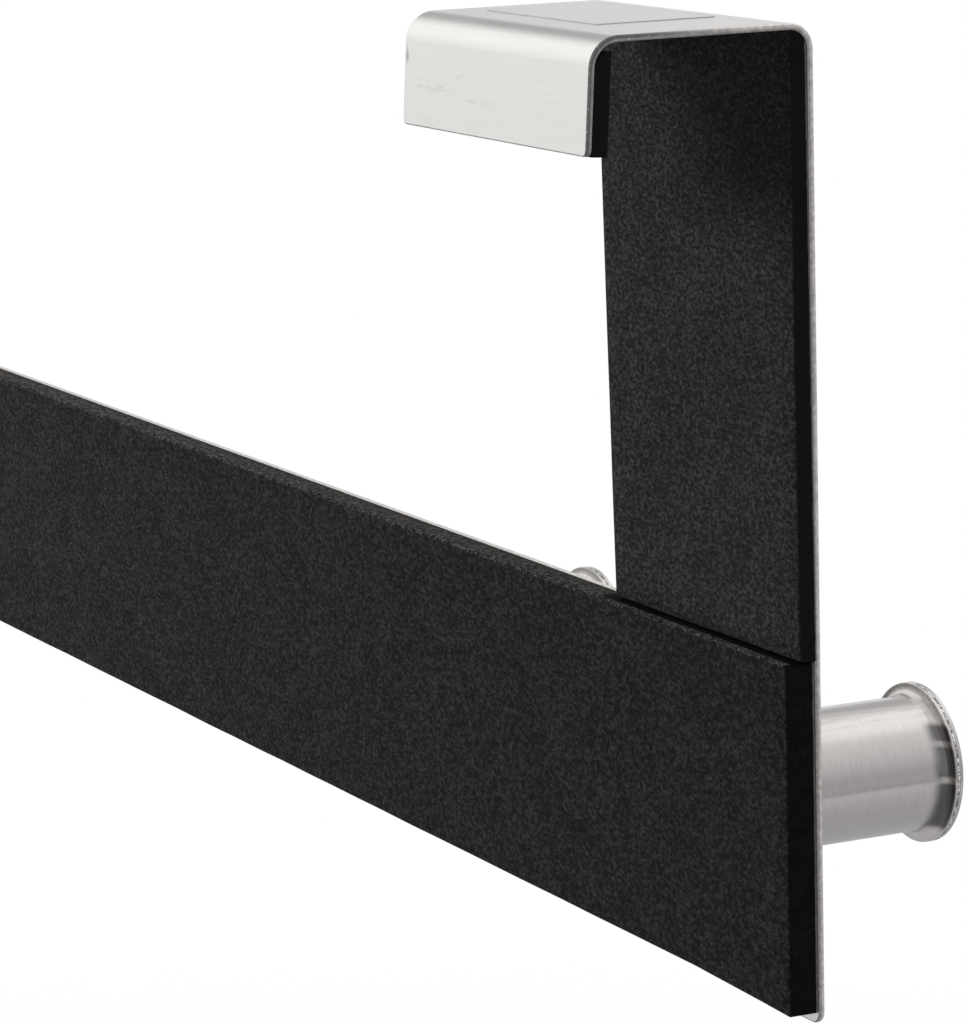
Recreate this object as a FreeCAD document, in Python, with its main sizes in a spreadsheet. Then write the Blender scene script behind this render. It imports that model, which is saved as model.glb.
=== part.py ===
"""Over-door peg rail: one bent steel sheet, foam where it meets the door, and four hollow pegs."""
import FreeCAD, Part
import math
import os
import Sketcher

doc = FreeCAD.newDocument("over_door_rail")
dims = doc.addObject("Spreadsheet::Sheet", "dims")

# Driving dimensions in millimetres and degrees
# The frame has X along the rail, +Y towards the lips, and Z = 0 on the underside of the bridges
SIZES = (
    ("sheet_wall", 1.2, "steel sheet"),
    ("door_gap", 42.0, "steel to steel across the door"),
    ("rail_length", 740.0, "rail, end to end"),
    ("leg_width", 73.0, "leg, bridge and lip along the rail"),
    ("leg_drop", 113.4, "door top down to the rail"),
    ("rail_height", 67.9, "rail, top edge to bottom edge"),
    ("lip_drop", 19.5, "door top down to the end of the lip"),
    ("lip_lean", 3.8, "lip opened away from the leg, degrees"),
    ("front_bend", 4.6, "outer bend radius over the leg"),
    ("rear_bend", 5.8, "outer bend radius over the lip"),
    ("rail_corner", 2.5, "lower corners of the rail"),
    ("lip_corner", 1.2, "lower corners of the lip"),
    ("crook", 2.0, "corner between leg and rail"),
    ("peg_pitch", 134.0, "peg under the leg to the next one inwards"),
    ("peg_drop", 31.8, "rail top down to the peg axis"),
    ("peg_diameter", 26.0, "neck of the peg"),
    ("peg_reach", 41.5, "rail face to flange"),
    ("peg_flange", 30.8, "flange and cap across"),
    ("peg_wall", 0.7, "wall of the drawn peg"),
    ("peg_foot_corner", 0.5, "bevel where the neck meets the rail"),
    ("peg_neck_corner", 0.8, "bevel between neck and flange"),
    ("cap_wall", 1.1, "disc that closes the peg"),
    ("screw_diameter", 4.9, "shank in its nut"),
    ("screw_length", 8.0, "shank under the head"),
    ("screw_fit", 0.5, "clearance hole over the shank"),
    ("head_across", 8.0, "screw head, flat to flat"),
    ("head_height", 3.5, "screw head"),
    ("nut_across", 8.0, "weld nut, flat to flat"),
    ("nut_height", 4.0, "weld nut"),
    ("nut_fit", 0.1, "nut bore over the shank"),
    ("rail_foam", 5.7, "foam on the rail, thickness"),
    ("rail_foam_top", 0.1, "foam edge below the rail's top edge"),
    ("rail_foam_foot", 2.4, "foam edge above the rail's bottom edge"),
    ("rail_foam_end", 0.6, "foam edge inside the rail's ends"),
    ("foam_corner", 1.8, "rounded corners of the rail's foam"),
    ("head_room", 0.6, "foam pocket round and over a screw head"),
    ("leg_foam", 3.3, "foam on legs and lips, thickness"),
    ("leg_foam_edge", 0.1, "leg foam inside the leg's sides"),
    ("leg_foam_joint", 0.4, "open seam over the rail's foam"),
    ("foam_bend_gap", 0.1, "foam clear of the bend and the bridge"),
    ("head_swing", 0.5, "left foam's head, shifted inwards"),
    ("foot_swing_outer", 0.7, "left foam's foot, over the leg's outer side"),
    ("foot_swing_inner", 2.8, "left foam's foot, short of the leg's inner side"),
    ("patch_length", 43.0, "thin patch on the left bridge, along the rail"),
    ("patch_width", 24.0, "thin patch, across the door"),
    ("patch_wall", 0.15, "thin patch"),
    ("patch_shift", 6.5, "patch centre inwards from the leg's middle"),
    ("patch_rise", 1.95, "patch centre from the middle of the flat, towards the leg"),
)
for row, (name, size, note) in enumerate(SIZES, start=1):
    dims.set(f"A{row}", note)
    dims.set(f"B{row}", str(size))
    dims.setAlias(f"B{row}", name)
doc.recompute()

# Places that several pieces share, as formulas on the sheet
HALF_LENGTH = "(dims.rail_length / 2)"
LEG_MIDDLE = f"({HALF_LENGTH} - dims.leg_width / 2)"
DOOR_FACE = "(-dims.door_gap / 2)"
FRONT_FACE = "(-dims.door_gap / 2 - dims.sheet_wall)"
RAIL_TOP = "(-dims.leg_drop)"
RAIL_FOOT = "(-dims.leg_drop - dims.rail_height)"
PEG_AXIS = "(-dims.leg_drop - dims.peg_drop)"
INNER_PEG = f"({LEG_MIDDLE} - dims.peg_pitch)"
PEG_PLACES = (f"(-{LEG_MIDDLE})", f"(-{INNER_PEG})", INNER_PEG, LEG_MIDDLE)
FRONT_INNER = "(dims.front_bend - dims.sheet_wall)"
REAR_INNER = "(dims.rear_bend - dims.sheet_wall)"
REAR_CENTRE_Y = "(dims.door_gap / 2 + dims.sheet_wall - dims.rear_bend)"
LIP_START_Y = f"({REAR_CENTRE_Y} + {REAR_INNER} * cos(dims.lip_lean))"
LIP_START_Z = f"({REAR_INNER} * sin(dims.lip_lean) - {REAR_INNER})"
LIP_LENGTH = f"((dims.lip_drop + {LIP_START_Z}) / cos(dims.lip_lean))"
SCREW_HOLE = "(dims.screw_diameter + dims.screw_fit)"
PEG_BORE = "(dims.peg_diameter / 2 - dims.peg_wall)"
QUARTER_TURN = math.pi / 2


def number(formula):
    """Present value of a formula on the sheet."""
    return float(dims.evalExpression(formula))


def new_body(label):
    """An empty body whose label names its file."""
    body = doc.addObject("PartDesign::Body", label)
    body.Label = label
    return body


def origin(body, role):
    """One of the body's own origin planes or axes."""
    return next(item for item in body.Origin.OriginFeatures if item.Role == role)


def new_sketch(body, name, plane):
    """A sketch on one of the body's origin planes."""
    sketch = body.newObject("Sketcher::SketchObject", name)
    sketch.AttachmentSupport = [(origin(body, plane), "")]
    sketch.MapMode = "FlatFace"
    return sketch


def bind(sketch, constraint, name, formula):
    """Add one named constraint and tie its value to the sheet."""
    index = sketch.addConstraint(constraint)
    sketch.renameConstraint(index, name)
    sketch.setExpression(f"Constraints.{name}", formula)


def measure(sketch, kind, geometry, point, formula, name):
    """Dimension a point from the sketch's origin, or lay it on the axis when it is zero."""
    size = number(formula)
    if abs(size) < 1e-9:
        axis = -2 if kind == "DistanceX" else -1
        sketch.addConstraint(Sketcher.Constraint("PointOnObject", geometry, point, axis))
    else:
        bind(sketch, Sketcher.Constraint(kind, -1, 1, geometry, point, size), name, formula)


def outline(sketch, corners):
    """Closed outline of straight sides, with corners given as pairs of formulas."""
    count = len(corners)
    points = [FreeCAD.Vector(number(across), number(up), 0) for across, up in corners]
    lines = []
    for i in range(count):
        lines.append(sketch.addGeometry(Part.LineSegment(points[i], points[(i + 1) % count]), False))
    for i in range(count):
        sketch.addConstraint(Sketcher.Constraint("Coincident", lines[i], 2, lines[(i + 1) % count], 1))
    for i in range(count):
        before = corners[i - 1]
        if before[0] == corners[i][0] and i > 0:
            sketch.addConstraint(Sketcher.Constraint("Vertical", lines[i - 1]))
        else:
            measure(sketch, "DistanceX", lines[i], 1, corners[i][0], f"across_{i}")
        if before[1] == corners[i][1] and i > 0:
            sketch.addConstraint(Sketcher.Constraint("Horizontal", lines[i - 1]))
        else:
            measure(sketch, "DistanceY", lines[i], 1, corners[i][1], f"up_{i}")


def circle(sketch, across, up, diameter):
    """One circle, with its centre and diameter given as formulas."""
    centre = FreeCAD.Vector(number(across), number(up), 0)
    ring = sketch.addGeometry(Part.Circle(centre, FreeCAD.Vector(0, 0, 1), number(diameter) / 2), False)
    measure(sketch, "DistanceX", ring, 3, across, f"across_{ring}")
    measure(sketch, "DistanceY", ring, 3, up, f"up_{ring}")
    bind(sketch, Sketcher.Constraint("Diameter", ring, number(diameter)), f"diameter_{ring}", diameter)


def at_every_peg(sketch, diameter):
    """A circle on each peg's axis."""
    for across in PEG_PLACES:
        circle(sketch, across, PEG_AXIS, diameter)


def pad(body, sketch, formula, side="One side", reverse=False):
    """Extrude a sketch."""
    feature = body.newObject("PartDesign::Pad", sketch.Name + "_pad")
    feature.Profile = sketch
    feature.SideType = side
    feature.Reversed = reverse
    feature.setExpression("Length", formula)
    sketch.Visibility = False
    doc.recompute()
    return feature


def cut(body, sketch, formula=None):
    """Cut a sketch to a depth, or right through both ways."""
    before = body.Shape.Volume
    feature = body.newObject("PartDesign::Pocket", sketch.Name + "_cut")
    feature.Profile = sketch
    if formula is None:
        feature.SideType = "Symmetric"
        feature.Type = "ThroughAll"
    else:
        feature.setExpression("Length", formula)
    doc.recompute()
    if body.Shape.Volume > before - 1e-6:
        raise RuntimeError(f"{body.Label}: {feature.Name} cuts nothing")
    return feature


def spin(body, sketch):
    """Turn a profile about the body's Y axis."""
    feature = body.newObject("PartDesign::Revolution", sketch.Name + "_turned")
    feature.Profile = sketch
    feature.ReferenceAxis = (origin(body, "Y_Axis"), [""])
    feature.Angle = 360
    doc.recompute()
    return feature


def soften(body, feature, name, formula, chosen):
    """Round the edges that the test picks out."""
    edges = [f"Edge{i}" for i, edge in enumerate(feature.Shape.Edges, start=1) if chosen(edge)]
    rounded = body.newObject("PartDesign::Fillet", name)
    rounded.Base = (feature, edges)
    rounded.setExpression("Radius", formula)
    doc.recompute()
    return rounded


def runs_along(edge, axis):
    """True for a straight edge parallel to one axis."""
    if edge.Curve.TypeId != "Part::GeomLine":
        return False
    return abs(abs(edge.Curve.Direction.dot(axis)) - 1) < 1e-6


def same(first, second):
    """Two measures that agree to a thousandth."""
    return abs(first - second) < 1e-3


def place(item, across="0", along="0", up="0"):
    """Tie a sub-part's position to the sheet."""
    item.setExpression("Placement.Base.x", across)
    item.setExpression("Placement.Base.y", along)
    item.setExpression("Placement.Base.z", up)


def bent_section(sketch):
    """Side view of the sheet: rail and leg, bridge over the door, and the lip leaning out."""
    wall = number("dims.sheet_wall")
    front = number(DOOR_FACE)
    foot = number(RAIL_FOOT)
    outer, inner = number("dims.front_bend"), number(FRONT_INNER)
    rear_outer, rear_inner = number("dims.rear_bend"), number(REAR_INNER)
    lean = math.radians(number("dims.lip_lean"))
    side, up = FreeCAD.Vector(1, 0, 0), FreeCAD.Vector(0, 1, 0)
    out = FreeCAD.Vector(math.cos(lean), math.sin(lean), 0)
    down = FreeCAD.Vector(out.y, -out.x, 0)
    front_centre = FreeCAD.Vector(front + inner, -inner, 0)
    rear_centre = FreeCAD.Vector(number(REAR_CENTRE_Y), -rear_inner, 0)
    reach = down * number(LIP_LENGTH)

    def line(start, end):
        return sketch.addGeometry(Part.LineSegment(start, end), False)

    def arc(centre, radius, start, end):
        ring = Part.Circle(centre, FreeCAD.Vector(0, 0, 1), radius)
        return sketch.addGeometry(Part.ArcOfCircle(ring, start, end), False)

    def corner(first, first_end, second, second_end):
        sketch.addConstraint(Sketcher.Constraint("Coincident", first, first_end, second, second_end))

    def smooth(first, first_end, second, second_end):
        sketch.addConstraint(Sketcher.Constraint("Tangent", first, first_end, second, second_end))

    face = line(FreeCAD.Vector(front - wall, foot, 0), front_centre - side * outer)
    front_outside = arc(front_centre, outer, QUARTER_TURN, 2 * QUARTER_TURN)
    top = line(front_centre + up * outer, rear_centre + up * rear_outer)
    rear_outside = arc(rear_centre, rear_outer, lean, QUARTER_TURN)
    lip_out = line(rear_centre + out * rear_outer, rear_centre + out * rear_outer + reach)
    lip_end = line(rear_centre + out * rear_outer + reach, rear_centre + out * rear_inner + reach)
    lip_in = line(rear_centre + out * rear_inner + reach, rear_centre + out * rear_inner)
    rear_inside = arc(rear_centre, rear_inner, lean, QUARTER_TURN)
    seat = line(rear_centre + up * rear_inner, front_centre + up * inner)
    front_inside = arc(front_centre, inner, QUARTER_TURN, 2 * QUARTER_TURN)
    back = line(front_centre - side * inner, FreeCAD.Vector(front, foot, 0))
    edge = line(FreeCAD.Vector(front, foot, 0), FreeCAD.Vector(front - wall, foot, 0))

    smooth(face, 2, front_outside, 2)
    smooth(front_outside, 1, top, 1)
    smooth(top, 2, rear_outside, 2)
    smooth(rear_outside, 1, lip_out, 1)
    corner(lip_out, 2, lip_end, 1)
    corner(lip_end, 2, lip_in, 1)
    smooth(lip_in, 2, rear_inside, 1)
    smooth(rear_inside, 2, seat, 1)
    smooth(seat, 2, front_inside, 1)
    smooth(front_inside, 2, back, 1)
    corner(back, 2, edge, 1)
    corner(edge, 2, face, 1)
    corner(front_outside, 3, front_inside, 3)
    corner(rear_outside, 3, rear_inside, 3)
    for straight in (face, back):
        sketch.addConstraint(Sketcher.Constraint("Vertical", straight))
    for level in (top, seat, edge):
        sketch.addConstraint(Sketcher.Constraint("Horizontal", level))
    sketch.addConstraint(Sketcher.Constraint("Perpendicular", lip_out, lip_end))
    sketch.addConstraint(Sketcher.Constraint("PointOnObject", seat, 1, -1))
    bind(sketch, Sketcher.Constraint("Radius", front_outside, outer), "front_outer", "dims.front_bend")
    bind(sketch, Sketcher.Constraint("Radius", front_inside, inner), "front_inner", FRONT_INNER)
    bind(sketch, Sketcher.Constraint("Radius", rear_outside, rear_outer), "rear_outer", "dims.rear_bend")
    measure(sketch, "DistanceX", back, 2, DOOR_FACE, "door_face")
    measure(sketch, "DistanceY", back, 2, RAIL_FOOT, "rail_foot")
    measure(sketch, "DistanceX", rear_outside, 3, REAR_CENTRE_Y, "rear_centre")
    bind(sketch, Sketcher.Constraint("Distance", lip_in, 1, lip_in, 2, number(LIP_LENGTH)), "lip_length",
         LIP_LENGTH)
    bind(sketch, Sketcher.Constraint("Angle", -2, 2, lip_in, 2, lean), "lip_lean", "dims.lip_lean")


def hook_sheet():
    """Rail, two legs, two bridges and two lips in one piece of bent sheet."""
    body = new_body("hook_sheet")
    section = new_sketch(body, "side_view", "YZ_Plane")
    bent_section(section)
    bent = pad(body, section, f"2 * {HALF_LENGTH}", side="Symmetric")

    window = new_sketch(body, "window", "XZ_Plane")
    inner_side = f"({HALF_LENGTH} - dims.leg_width)"
    over = "(dims.sheet_wall * 2)"
    outline(window, (
        (f"-{inner_side}", RAIL_TOP), (inner_side, RAIL_TOP), (inner_side, over), (f"-{inner_side}", over)))
    opened = cut(body, window)

    end, inside = number(HALF_LENGTH), number(inner_side)
    foot, top, lip = number(RAIL_FOOT), number(RAIL_TOP), number("-dims.lip_drop")
    along = FreeCAD.Vector(0, 1, 0)

    def across_sheet(edge, from_middle, height):
        """True for a corner edge through the sheet at this distance along the rail and this height."""
        centre = edge.CenterOfMass
        return runs_along(edge, along) and same(abs(centre.x), from_middle) and same(centre.z, height)

    rail_ends = soften(body, opened, "rail_corners", "dims.rail_corner",
                       lambda edge: across_sheet(edge, end, foot))
    crooks = soften(body, rail_ends, "crooks", "dims.crook",
                    lambda edge: across_sheet(edge, inside, top))

    def lip_tip(edge):
        """True for the short edges through the sheet at the end of a lip."""
        if edge.Curve.TypeId != "Part::GeomLine" or not same(edge.Length, number("dims.sheet_wall")):
            return False
        return edge.CenterOfMass.y > 0 and edge.CenterOfMass.z < lip + number("dims.sheet_wall")

    soften(body, crooks, "lip_corners", "dims.lip_corner", lip_tip)
    screw_hole = new_sketch(body, "screw_hole", "XZ_Plane")
    at_every_peg(screw_hole, SCREW_HOLE)
    cut(body, screw_hole)


def rail_pad():
    """Thick foam over the whole rail, with a blind pocket for each screw head."""
    body = new_body("rail_pad")
    face = new_sketch(body, "rail_foam_face", "XZ_Plane")
    end = f"({HALF_LENGTH} - dims.rail_foam_end)"
    top = f"({RAIL_TOP} - dims.rail_foam_top)"
    foot = f"({RAIL_FOOT} + dims.rail_foam_foot)"
    outline(face, ((f"-{end}", foot), (end, foot), (end, top), (f"-{end}", top)))
    block = pad(body, face, "dims.rail_foam", reverse=True)
    soften(body, block, "foam_corners", "dims.foam_corner",
           lambda edge: runs_along(edge, FreeCAD.Vector(0, 1, 0)))
    pocket = new_sketch(body, "head_pocket", "XZ_Plane")
    at_every_peg(pocket, "dims.head_across * 2 / sqrt(3) + 2 * dims.head_room")
    cut(body, pocket, "dims.head_height + dims.head_room")
    place(body, along=DOOR_FACE)


def bend_relief(body, label):
    """Cut the leg's foam back to the inside of the front bend."""
    sketch = new_sketch(body, label + "_bend", "YZ_Plane")
    radius = f"({FRONT_INNER} - dims.foam_bend_gap)"
    reach = number(radius)
    middle = FreeCAD.Vector(number(FRONT_INNER), -number(FRONT_INNER), 0)
    ring = Part.Circle(middle, FreeCAD.Vector(0, 0, 1), reach)
    arc = sketch.addGeometry(Part.ArcOfCircle(ring, QUARTER_TURN, 2 * QUARTER_TURN), False)
    stops = (
        middle + FreeCAD.Vector(0, reach, 0), FreeCAD.Vector(middle.x, reach, 0),
        FreeCAD.Vector(-reach, reach, 0), FreeCAD.Vector(-reach, middle.y, 0),
        middle - FreeCAD.Vector(reach, 0, 0))
    sides = [sketch.addGeometry(Part.LineSegment(a, b), False) for a, b in zip(stops, stops[1:])]
    sketch.addConstraint(Sketcher.Constraint("Coincident", arc, 1, sides[0], 1))
    for first, second in zip(sides, sides[1:]):
        sketch.addConstraint(Sketcher.Constraint("Coincident", first, 2, second, 1))
    sketch.addConstraint(Sketcher.Constraint("Coincident", sides[3], 2, arc, 2))
    for upright in (sides[0], sides[2]):
        sketch.addConstraint(Sketcher.Constraint("Vertical", upright))
    for level in (sides[1], sides[3]):
        sketch.addConstraint(Sketcher.Constraint("Horizontal", level))
    for end in (sides[0], sides[3]):
        sketch.addConstraint(Sketcher.Constraint("PointOnObject", arc, 3, end))
    bind(sketch, Sketcher.Constraint("Radius", arc, reach), "radius", radius)
    measure(sketch, "DistanceX", arc, 3, FRONT_INNER, "centre_across")
    measure(sketch, "DistanceY", arc, 3, f"-{FRONT_INNER}", "centre_up")
    measure(sketch, "DistanceX", sides[1], 2, f"-{radius}", "beyond_across")
    measure(sketch, "DistanceY", sides[1], 2, radius, "beyond_up")
    cut(body, sketch)


def leg_pad(label, side, head="0", foot_outer="0", foot_inner="0"):
    """Foam up one leg and into the front bend; the last three are how far it is off square."""
    body = new_body(label)
    face = new_sketch(body, label + "_face", "XZ_Plane")
    half = "(dims.leg_width / 2 - dims.leg_foam_edge)"
    top = "(-dims.foam_bend_gap)"
    foot = f"({RAIL_TOP} - dims.rail_foam_top + dims.leg_foam_joint)"
    outline(face, (
        (f"({side} * ({half} + {foot_outer}))", foot), (f"(-{side} * ({half} - {foot_inner}))", foot),
        (f"(-{side} * ({half} + {head}))", top), (f"({side} * ({half} - {head}))", top)))
    pad(body, face, "dims.leg_foam", reverse=True)
    bend_relief(body, label)
    place(body, across=f"{side} * {LEG_MIDDLE}", along=DOOR_FACE)


def lip_pad(label, side):
    """Foam on the inside of one lip, leaning with it."""
    body = new_body(label)
    face = new_sketch(body, label + "_face", "XZ_Plane")
    half = "(dims.leg_width / 2)"
    foot = f"(-{LIP_LENGTH})"
    outline(face, ((f"-{half}", foot), (half, foot), (half, "0"), (f"-{half}", "0")))
    block = pad(body, face, "dims.leg_foam")
    soften(body, block, label + "_corners", "dims.lip_corner",
           lambda edge: runs_along(edge, FreeCAD.Vector(0, 1, 0)) and same(edge.CenterOfMass.z, number(foot)))
    body.Placement.Rotation = FreeCAD.Rotation(FreeCAD.Vector(1, 0, 0), number("dims.lip_lean"))
    body.setExpression("Placement.Rotation.Angle", "dims.lip_lean")
    place(body, f"{side} * {LEG_MIDDLE}", LIP_START_Y, LIP_START_Z)


def top_patch():
    """Thin plain rectangle on top of the left bridge."""
    patch = doc.addObject("Part::Box", "top_patch")
    patch.Label = "top_patch"
    patch.setExpression("Length", "dims.patch_length")
    patch.setExpression("Width", "dims.patch_width")
    patch.setExpression("Height", "dims.patch_wall")
    flat_middle = f"(({DOOR_FACE} + {FRONT_INNER} + {REAR_CENTRE_Y}) / 2)"
    place(patch, f"-{LEG_MIDDLE} + dims.patch_shift - dims.patch_length / 2",
          f"{flat_middle} - dims.patch_rise - dims.patch_width / 2", "dims.sheet_wall")


def peg(place_in_row, across):
    """Drawn hollow peg, open at its flange, which stands on the front of the rail."""
    body = new_body(f"peg_{place_in_row}")
    section = new_sketch(body, f"peg_{place_in_row}_section", "YZ_Plane")
    hole, neck, rim = f"({SCREW_HOLE} / 2)", "(dims.peg_diameter / 2)", "(dims.peg_flange / 2)"
    floor, flange = "(-dims.peg_wall)", "(-dims.peg_reach)"
    mouth = "(-dims.peg_reach - dims.peg_wall)"
    outline(section, (
        ("0", hole), ("0", f"({neck} - dims.peg_foot_corner)"), ("(-dims.peg_foot_corner)", neck),
        (f"({flange} + dims.peg_neck_corner)", neck), (flange, f"({neck} + dims.peg_neck_corner)"),
        (flange, rim), (mouth, rim), (mouth, PEG_BORE), (floor, PEG_BORE), (floor, hole)))
    spin(body, section)
    place(body, across, FRONT_FACE, PEG_AXIS)


def peg_cap(place_in_row, across):
    """Disc that closes the peg, welded round the rim of its flange."""
    body = new_body(f"peg_cap_{place_in_row}")
    face = new_sketch(body, f"peg_cap_{place_in_row}_face", "XZ_Plane")
    circle(face, "0", "0", "dims.peg_flange")
    pad(body, face, "dims.cap_wall")
    place(body, across, f"{FRONT_FACE} - dims.peg_reach - dims.peg_wall", PEG_AXIS)


def round_bar(name, diameter, height):
    """Upright cylinder for a shank or a bore."""
    bar = doc.addObject("Part::Cylinder", name)
    bar.setExpression("Radius", f"{diameter} / 2")
    bar.setExpression("Height", height)
    return bar


def hexagon_block(name, across_flats, height):
    """Upright hexagon for a screw's head or a nut."""
    block = doc.addObject("Part::Prism", name)
    block.Polygon = 6
    block.setExpression("Circumradius", f"{across_flats} / sqrt(3)")
    block.setExpression("Height", height)
    return block


def laid_along_peg(kind, label, block, bar):
    """Join or cut an upright block and bar, and lay them down to point out from the door."""
    joined = doc.addObject(kind, label)
    joined.Label = label
    joined.Base = block
    joined.Tool = bar
    joined.Placement.Rotation = FreeCAD.Rotation(FreeCAD.Vector(1, 0, 0), 90)
    return joined


def peg_screw(place_in_row, across):
    """Hexagon head in the foam's pocket, shank through sheet, peg and nut."""
    label = f"peg_screw_{place_in_row}"
    head = hexagon_block(f"{label}_head", "dims.head_across", "dims.head_height")
    place(head, up="-dims.head_height")
    shank = round_bar(f"{label}_shank", "dims.screw_diameter", "dims.screw_length")
    screw = laid_along_peg("Part::Fuse", label, head, shank)
    place(screw, across, DOOR_FACE, PEG_AXIS)


def peg_nut(place_in_row, across):
    """Nut welded to the peg's floor, inside."""
    label = f"peg_nut_{place_in_row}"
    block = hexagon_block(f"{label}_block", "dims.nut_across", "dims.nut_height")
    bore = round_bar(f"{label}_bore", "(dims.screw_diameter + dims.nut_fit)", "dims.nut_height")
    nut = laid_along_peg("Part::Cut", label, block, bore)
    place(nut, across, f"{FRONT_FACE} - dims.peg_wall", PEG_AXIS)


hook_sheet()
rail_pad()
leg_pad("leg_pad_left", "(-1)", "dims.head_swing", "dims.foot_swing_outer", "dims.foot_swing_inner")
leg_pad("leg_pad_right", "1")
lip_pad("lip_pad_left", "(-1)")
lip_pad("lip_pad_right", "1")
top_patch()
for nth, across in enumerate(PEG_PLACES, start=1):
    for build in (peg, peg_cap, peg_screw, peg_nut):
        build(nth, across)
doc.recompute()

# Check every object, then write one file per sub-part
for item in doc.Objects:
    if "Invalid" in item.State or "Error" in item.State:
        raise RuntimeError(f"{item.Label} did not build")
KINDS = ("PartDesign::Body", "Part::Fuse", "Part::Cut", "Part::Box")
sub_parts = [item for item in doc.Objects if item.TypeId in KINDS]
for item in sub_parts:
    if item.Shape.isNull() or not item.Shape.isValid():
        raise RuntimeError(f"{item.Label} has no valid shape")
os.makedirs("parts", exist_ok=True)
for item in sub_parts:
    item.Shape.exportStep(f"parts/{item.Label}.step")
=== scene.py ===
import math

import bmesh
import bpy
from bpy.props import FloatProperty, FloatVectorProperty, IntProperty, PointerProperty
from mathutils import Euler, Matrix, Vector, noise


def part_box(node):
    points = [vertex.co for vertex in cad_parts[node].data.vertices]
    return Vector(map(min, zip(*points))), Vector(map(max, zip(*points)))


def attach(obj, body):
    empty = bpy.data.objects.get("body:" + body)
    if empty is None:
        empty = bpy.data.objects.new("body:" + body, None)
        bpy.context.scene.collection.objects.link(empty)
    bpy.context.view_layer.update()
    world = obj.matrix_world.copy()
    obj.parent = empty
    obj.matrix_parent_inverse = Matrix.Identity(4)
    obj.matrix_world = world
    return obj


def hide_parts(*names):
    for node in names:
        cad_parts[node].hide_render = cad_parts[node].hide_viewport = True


bl_info = {
    "name": "Over-door peg rail",
    "version": (1, 0, 0),
    "blender": (4, 5, 0),
    "location": "View3D > Sidebar > Peg rail",
    "description": "Brushed sheet, cut foam and turned pegs for an over-door rail",
    "category": "Object",
}

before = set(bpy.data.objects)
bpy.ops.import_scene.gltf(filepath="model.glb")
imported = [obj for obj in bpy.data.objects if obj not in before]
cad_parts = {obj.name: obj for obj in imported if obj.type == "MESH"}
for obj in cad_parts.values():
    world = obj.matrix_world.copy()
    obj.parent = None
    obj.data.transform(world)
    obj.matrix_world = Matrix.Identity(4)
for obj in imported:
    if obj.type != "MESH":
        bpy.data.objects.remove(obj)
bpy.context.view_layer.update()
SHEET_LOW, SHEET_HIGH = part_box("hook_sheet")
RAIL_PAD_LOW, RAIL_PAD_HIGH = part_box("rail_pad")
LIP_PAD_LOW, LIP_PAD_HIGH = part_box("lip_pad_right")
NECK_LOW, NECK_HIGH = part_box("peg_1")
PEGS = sorted(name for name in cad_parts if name.startswith("peg_") and name[4:].isdigit())
DOOR_FACE = RAIL_PAD_LOW.y
LEG_FOAM_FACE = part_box("leg_pad_right")[1].y
LEG_INSIDE = LIP_PAD_LOW.x
SMOOTH_BELOW = math.radians(32)
CUT_EDGES_FROM = math.radians(50)
NEST_GAP = 0.0001
WELD = 1e-7
WANDER_WAVES = 45.0
BLACK, WHITE = (0.0, 0.0, 0.0, 1.0), (1.0, 1.0, 1.0, 1.0)


def length(label, value, note):
    """A size in metres for the sidebar."""
    return FloatProperty(name=label, description=note, default=value, min=0.0, precision=5, unit="LENGTH")


def angle(label, degrees, note):
    """An angle for the sidebar, given here in degrees."""
    return FloatProperty(name=label, description=note, default=math.radians(degrees), unit="ROTATION")


def colour(label, value, note):
    """A linear colour for the sidebar."""
    return FloatVectorProperty(
        name=label, description=note, default=value, size=3, min=0, max=1, subtype="COLOR")


def factor(label, value, note):
    """A plain factor for the sidebar."""
    return FloatProperty(name=label, description=note, default=value, min=0.0, subtype="FACTOR", soft_max=1.0)


class SheetSettings(bpy.types.PropertyGroup):
    """Sizes and finish of the bent steel sheet."""
    wall: length("Sheet", SHEET_HIGH.z, "Thickness of the steel, whose bridges have their underside at 0")
    leg_width: length("Leg width", LIP_PAD_HIGH.x - LIP_PAD_LOW.x, "Leg, bridge and lip along the rail")
    rail_height: length("Rail height", 0.0679, "Rail from its top edge to its bottom edge")
    lip_drop: length("Lip drop", 0.0195, "Bridge's underside down to the end of the lip")
    lip_lean: angle("Lip lean", 3.8, "Lip opened away from the leg")
    door_gap: length("Door gap", 0.042, "Steel to steel across the door")
    front_bend: length("Front bend", 0.0046, "Outer bend radius over the leg")
    rear_bend: length("Rear bend", 0.0058, "Outer bend radius over the lip")
    rail_corner: length("Rail corner", 0.0025, "Radius of the rail's lower corners")
    lip_corner: length("Lip corner", 0.0012, "Radius of the lip's corners")
    crook: length("Crook", 0.002, "Radius between leg and rail")
    edge_break: length("Broken edge", 0.00026, "Round left on the cut edges")
    bend_steps: IntProperty(
        name="Bend steps", description="Facets round each bend", default=14, min=4, max=48)
    steel: colour("Steel", (0.81, 0.80, 0.78), "Brushed face")
    steel_shade: colour("Steel in the grain", (0.76, 0.75, 0.73), "Bottom of the brushed grain")
    cut_steel: colour("Cut edge", (0.50, 0.48, 0.47), "Sheared edge of the sheet")
    rubbed: colour("Rubbed marks", (0.20, 0.20, 0.20), "Nick and scratches on the lips")
    roughness: factor("Roughness", 0.30, "Roughness of the brushed face")
    nick_in: length("Nick in", 0.0009, "Nick's distance from the lip's side edge")
    nick_down: length("Nick down", 0.0069, "Nick's distance below the bridge")
    nick_size: length("Nick size", 0.0006, "Half the nick's width")
    scratch_down: length("Scratch down", 0.0113, "Scratch's distance below the bridge at the lip's edge")
    scratch_run: length("Scratch run", 0.038, "How far the scratch runs in from the lip's edge")
    film: colour("Film", (0.86, 0.85, 0.835), "Thin film on the bridge")
    film_shade: colour("Film in the grain", (0.78, 0.775, 0.76), "Bottom of the film's grain")
    # painted shadow: dark line round the film's edge
    film_edge_shadow: colour("Film border", (0.12, 0.12, 0.12), "Line round the film")


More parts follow.
